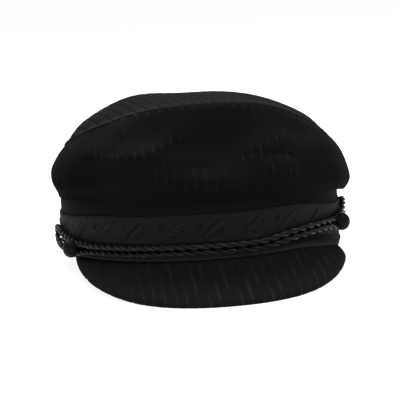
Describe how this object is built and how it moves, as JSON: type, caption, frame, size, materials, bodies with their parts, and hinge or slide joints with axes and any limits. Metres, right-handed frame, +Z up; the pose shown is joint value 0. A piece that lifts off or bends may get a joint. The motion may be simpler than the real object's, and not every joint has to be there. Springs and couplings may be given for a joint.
{
  "type": "captain hat",
  "caption": "Soft wide-wale corduroy fisherman's captain hat with a head band, braid ribbon, twisted cord on two buttons and a stiff peak.",
  "frame": {"origin": "middle of the hat's outline in plan, on the surface that it stands on", "axes": "+Z up from the surface, -Y towards the front edge of the peak, +X to the right of someone who faces the peak"},
  "size_m": [0.2002, 0.2572, 0.1097],
  "materials": {
    "corduroy": "wide-wale cotton corduroy, black, matt with a soft sheen at grazing angles",
    "band_cloth": "black brushed cotton, matt",
    "braid": "woven black braid with leaves in raised thread",
    "satin_cord": "two-ply twisted cord of shiny black thread",
    "button": "satin black, domed"
  },
  "bodies": {
    "root": {"crown_top": "corduroy", "crown_side": "corduroy", "head_band": "band_cloth", "braid_ribbon": "braid", "trim_cord": "satin_cord", "left_button": "button", "right_button": "button", "peak": "corduroy"}
  },
  "joints": []
}
